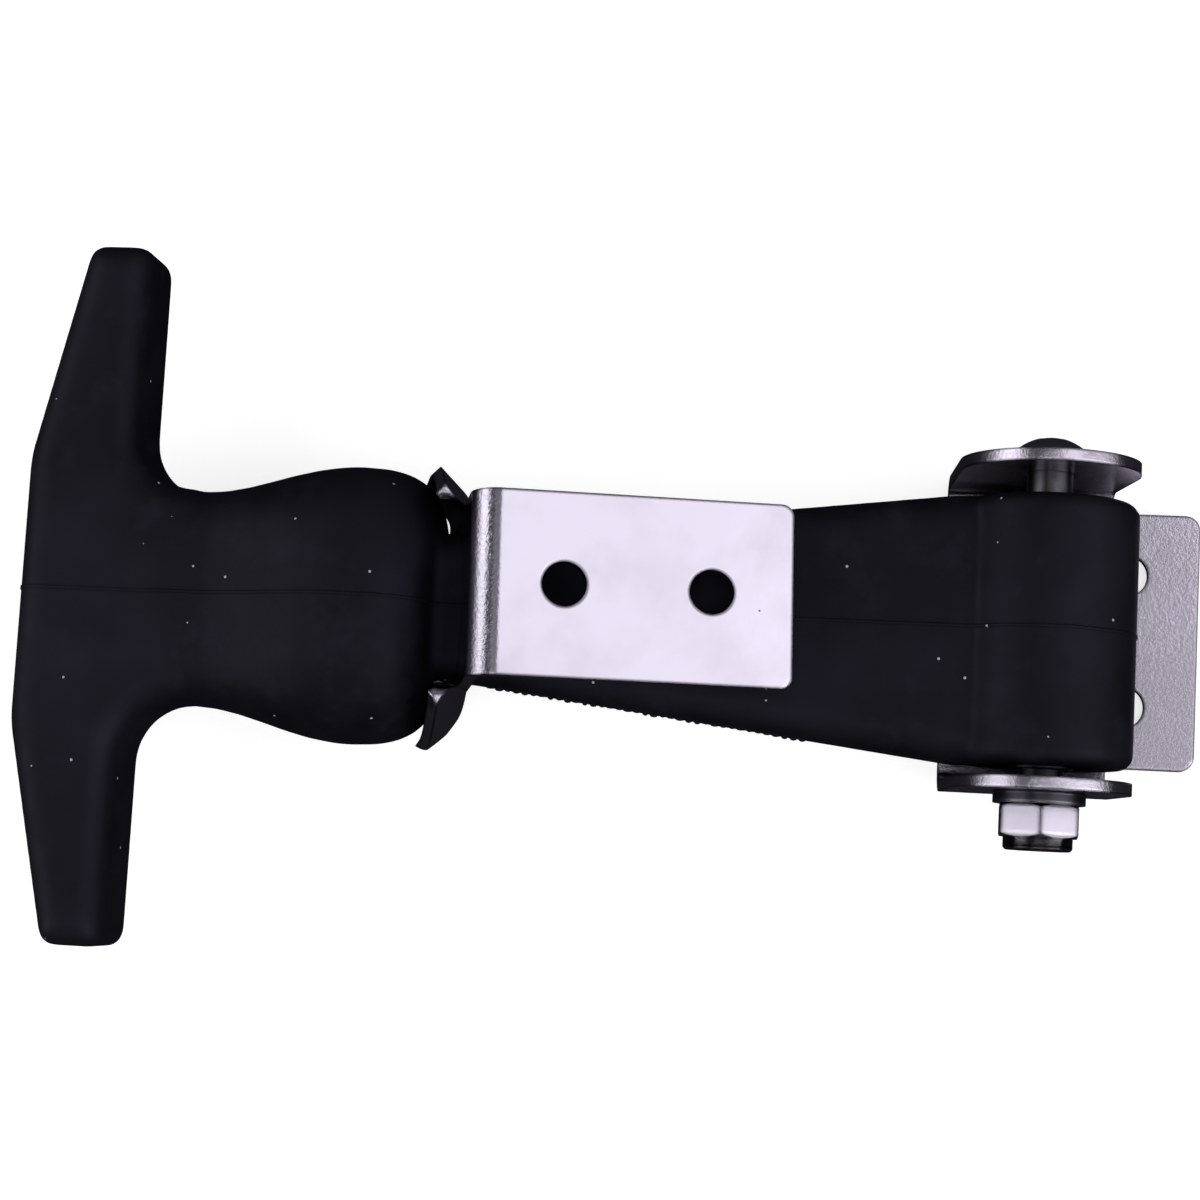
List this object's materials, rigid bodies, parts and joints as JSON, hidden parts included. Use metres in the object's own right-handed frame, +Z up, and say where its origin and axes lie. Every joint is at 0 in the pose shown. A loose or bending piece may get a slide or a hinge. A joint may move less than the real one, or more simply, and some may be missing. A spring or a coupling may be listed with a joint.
{
  "type": "rubber t draw latch",
  "caption": "Moulded rubber T-handle with a bulb, pivoted in a folded steel base bracket, with its slotted keeper bracket hung on the neck.",
  "frame": {"origin": "centre of the base plate's two mounting holes, on the underside of the plate", "axes": "+X along the latch from the T-handle to the base tab, +Y along the pivot bolt towards its head, +Z up from the mounting surface"},
  "size_m": [0.1582, 0.095, 0.0374],
  "materials": {
    "moulded_rubber": "moulded black rubber, semi-matt",
    "plated_sheet": "bright stamped sheet steel",
    "plated_hardware": "bright plated steel",
    "nylon": "natural nylon"
  },
  "bodies": {
    "base": {"base_bracket": "plated_sheet", "pivot_bolt": "plated_hardware", "flat_washer": "plated_hardware", "lock_nut": "plated_hardware", "nylon_insert": "nylon"},
    "handle": {"t_handle": "moulded_rubber", "pivot_sleeve": "plated_hardware", "keeper_bracket": "plated_sheet"}
  },
  "joints": [
    {"name": "handle_pivot", "type": "hinge", "parent": "base", "child": "handle", "pos_m": [-0.0116, 0, 0.0155], "axis": [0, 1, 0], "range_deg": [0, 170]}
  ]
}
